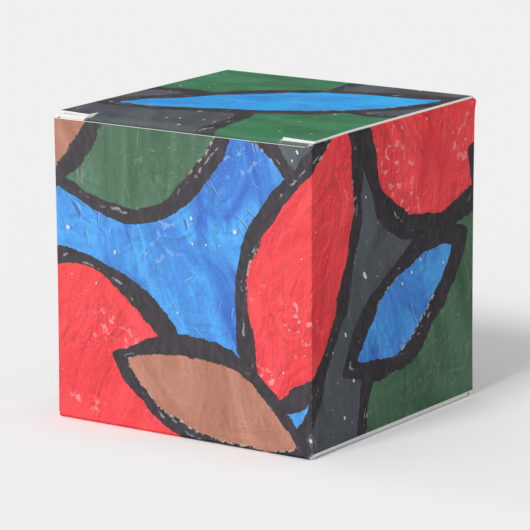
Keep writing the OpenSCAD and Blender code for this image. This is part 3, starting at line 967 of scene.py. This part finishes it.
    def lines(self):
        """The dark lines, with pale scratches along them and nicks at their edges."""
        ragged = self.math("ADD", self.edge, self.ramp(
            self.noise(self.place, 0.7, 4.0, 0.65), 0.2, 0.8, -0.16, 0.16))
        shades = self.ramp(self.noise(self.stretched(self.brushed, 0.3, 0.9), 1.0, 2.0), 0.35, 0.75)
        middle = self.ramp(self.noise(self.place, 0.25, 1.0), 0.3, 0.7, -0.6, 0.1)
        inner = self.math("COMPARE", self.edge, middle, 0.13)
        dashes = self.product(self.patches((3, 90), 0.5, 0.54, 0.6, 3.0, 0.6),
                              self.patches((44, 3), 0.05, 0.46, 0.54))
        ink = self.mix(shades, linear(DARK), linear(DARK_WORN))
        ink = self.mix(self.product(inner, dashes, 0.6), ink, DASH_COLOUR)
        self.cover(self.math("LESS_THAN", self.math("ABSOLUTE", ragged), 1.0), ink)
        nicks = self.product(self.patches((71, 33), 0.9, 0.5, 0.56, 3.0, 0.6),
                             self.patches((14, 33), 0.05, 0.52, 0.58),
                             self.math("COMPARE", ragged, -0.93, 0.13), 0.65)
        self.cover(nicks, NICK_COLOUR)

    def wear_creases(self):
        """The walls' print is a little worn along the creases."""
        worn = 0.0
        for crease in CREASES:
            worn = self.math("ADD", self.math("COMPARE", self.across, crease, CREASE_WEAR), worn)
        some = self.ramp(self.noise(self.place, 1.2, 3.0), 0.45, 0.65, 0.02, 0.16)
        self.cover(self.product(worn, some), WORN_COLOUR)

    def wear_and_shade_tuck_fold(self):
        """A lid's print is dulled to a dark grey along the tuck fold, more at the right slit, as worn print
        and painted shade, and torn off at the left.
        """
        past = self.math("LESS_THAN", self.along, LID_FRONT_Y - PANEL_MARGIN)
        by_fold = self.ramp(self.along, LID_FRONT_Y + DULL_SHADE_FROM, LID_FRONT_Y - DULL_SHADE_TO, 0.0, FOLD_DULL_SHADE)
        by_slit = self.ramp(self.across, TUCK_FOLD_HALF_W - DULL_SHADE_REACH, TUCK_FOLD_HALF_W, 0.0, SLIT_DULL_SHADE)
        # Painted shade, with some wear, darkens the tuck fold and the right shoulder
        self.cover(self.math("MAXIMUM", by_fold, self.product(past, by_slit)), DULL_SHADE_COLOUR)
        torn = self.math("LESS_THAN", self.math("MULTIPLY_ADD", self.along, -TORN_SLANT, self.across),
                         TORN_GAP - TUCK_FOLD_HALF_W - TORN_SLANT * LID_FRONT_Y)
        self.cover(self.product(past, torn), linear(CARD_WHITE))


def plain(name, colour, roughness, specular):
    """A surface of one colour."""
    made = Graph(name)
    made.shader.inputs["Base Color"].default_value = linear(colour)
    made.shader.inputs["Roughness"].default_value = roughness
    made.shader.inputs["Specular IOR Level"].default_value = specular
    return made


walls_print = Print("walls_print", [on_walls(f) for f in WALL_FIELDS], GREY, wall=True).material
top_print = Print("top_print", [on_lid(f) for f in TOP_FIELDS], TOP_GREEN, wall=False).material
bottom_print = Print("bottom_print", [on_lid(f) for f in BOTTOM_FIELDS], GREEN, wall=False).material
card_inside = plain("card_inside", CARD_WHITE, 0.8, 0.25).material
# The cut edges are a little whiter than the card's inside: a painted highlight on them
card_edge = plain("card_edge", "fbfdfb", 0.85, 0.25).material

walls = build_walls([walls_print, card_inside, card_edge])
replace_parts(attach(walls, "walls"), "box_body")
for lid, lid_print, body in ((TOP, top_print, "top_lid"), (BOTTOM, bottom_print, "bottom_lid")):
    piece = lid.build([walls_print, lid_print, card_inside, card_edge])
    start, end = bend_of(lid)
    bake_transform(piece)
    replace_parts(piece, body)


# Floor, light and camera

# Half the floor's width, and how far from the middle the floor in front and at the left glows most, which
# paints out the box's contact shade and coloured bounce there
FLOOR_REACH = 12.0
GLOW_REACH = 0.036
# Share of the even tone on the floor there, and beside and behind the box
GLOW_OVER_SHADE_SHARE, SHADE_SHARE = 0.72, 0.12
# The floor lies this far under the box
FLOOR_DROP = 0.00002

floor = bpy.data.objects.new("floor", bpy.data.meshes.new("floor"))
corners = [(-1, -1), (1, -1), (1, 1), (-1, 1)]
floor.data.from_pydata([(x * FLOOR_REACH, y * FLOOR_REACH, 0) for x, y in corners], [], [(0, 1, 2, 3)])
paper = plain("floor_paper", "f8f8f8", 0.9, 0.1)
# Seen by the camera, the floor is partly of an even pale tone, most of all in front and at the left, where
# this painted light covers the box's contact shade and the coloured light it throws
rays = paper.node("ShaderNodeLightPath", {}).node
seen = paper.math("MAXIMUM", rays.outputs["Is Camera Ray"], paper.math(
    "MAXIMUM", rays.outputs["Is Glossy Ray"], rays.outputs["Is Transmission Ray"]))
point = paper.node("ShaderNodeNewGeometry", {}, "Position")
nearest = paper.math("MINIMUM", paper.axis(point, 0), paper.axis(point, 1))
# Painted light: the glow is strongest in front and at the left of the box, over its contact shade and bounce
glow_amount = paper.ramp(nearest, -GLOW_REACH, -BOX_W / 2 * MM, GLOW_OVER_SHADE_SHARE, SHADE_SHARE)
glow = paper.node("ShaderNodeEmission", {"Color": linear("f0f0f0"), "Strength": 1.0})
shown = paper.node("ShaderNodeMixShader", {
    0: paper.math("MULTIPLY", seen, glow_amount), 1: paper.shader.outputs[0], 2: glow})
paper.tree.links.new(shown, paper.tree.nodes["Material Output"].inputs["Surface"])
floor.data.materials.append(paper.material)
floor.location.z = -FLOOR_DROP
bpy.context.scene.collection.objects.link(floor)

scene = bpy.context.scene
scene.view_settings.view_transform = "Standard"
world = bpy.data.worlds.new("studio")
scene.world = world
world.use_nodes = True
sky = world.node_tree.nodes["Background"]
sky.inputs["Color"].default_value = (1, 1, 1, 1)
sky.inputs["Strength"].default_value = 0.5


def direction(azimuth, elevation):
    """Unit vector from the box towards a place. Azimuth 0 is in front of it and 90 to its right."""
    a, e = math.radians(azimuth), math.radians(elevation)
    return Vector((math.sin(a) * math.cos(e), -math.cos(a) * math.cos(e), math.sin(e)))


LAMP_AIM = Vector((0, 0, 0.025))


def lamp(name, kind, energy, azimuth, elevation, distance, **settings):
    """A lamp at a distance from the box's middle, facing it."""
    made = bpy.data.lights.new(name, kind)
    made.energy = energy
    for key, value in settings.items():
        setattr(made, key, value)
    placed = bpy.data.objects.new(name, made)
    scene.collection.objects.link(placed)
    way = direction(azimuth, elevation)
    placed.location = LAMP_AIM + way * distance
    placed.rotation_euler = way.to_track_quat("Z", "Y").to_euler()
    return placed


lamp("key", "SUN", energy=1.85, azimuth=-4, elevation=45, distance=2, angle=math.radians(18))
# A broad panel low at the left, that only shows as a soft sheen on the walls
sheen = lamp("panel", "AREA", energy=85, azimuth=-36, elevation=2, distance=1.2, shape="SQUARE", size=1.2)
sheen.visible_diffuse = False
lit_walls = bpy.data.collections.new("lit_by_panel")
lit_walls.objects.link(walls)
sheen.light_linking.receiver_collection = lit_walls

# The camera, where the photograph was taken from
CAMERA_AZIMUTH, CAMERA_ELEVATION, CAMERA_ROLL = 34.183, 12.54, -0.271
CAMERA_DISTANCE = 0.5921
CAMERA_SHIFT = (-0.000531, -0.001097)
FOCAL_PIXELS, PICTURE_PIXELS = 3532.3, 530
SENSOR_MM = 36.0
CAMERA_AIM = Vector((0, 0, 0.0254))

camera = bpy.data.cameras.new("camera")
camera.sensor_width = SENSOR_MM
camera.lens = FOCAL_PIXELS / PICTURE_PIXELS * SENSOR_MM
camera.clip_start, camera.clip_end = 0.01, 20
camera_object = bpy.data.objects.new("camera", camera)
scene.collection.objects.link(camera_object)
scene.camera = camera_object
back = direction(CAMERA_AZIMUTH, CAMERA_ELEVATION)
level = Vector((math.cos(math.radians(CAMERA_AZIMUTH)), math.sin(math.radians(CAMERA_AZIMUTH)), 0))
upright = back.cross(level)
target = CAMERA_AIM + level * CAMERA_SHIFT[0] + upright * CAMERA_SHIFT[1]
roll = math.radians(CAMERA_ROLL)
right = level * math.cos(roll) + upright * math.sin(roll)
up = upright * math.cos(roll) - level * math.sin(roll)
turn = Matrix((right, up, back)).transposed()
camera_object.matrix_world = Matrix.Translation(target + back * CAMERA_DISTANCE) @ turn.to_4x4()

bpy.context.view_layer.update()
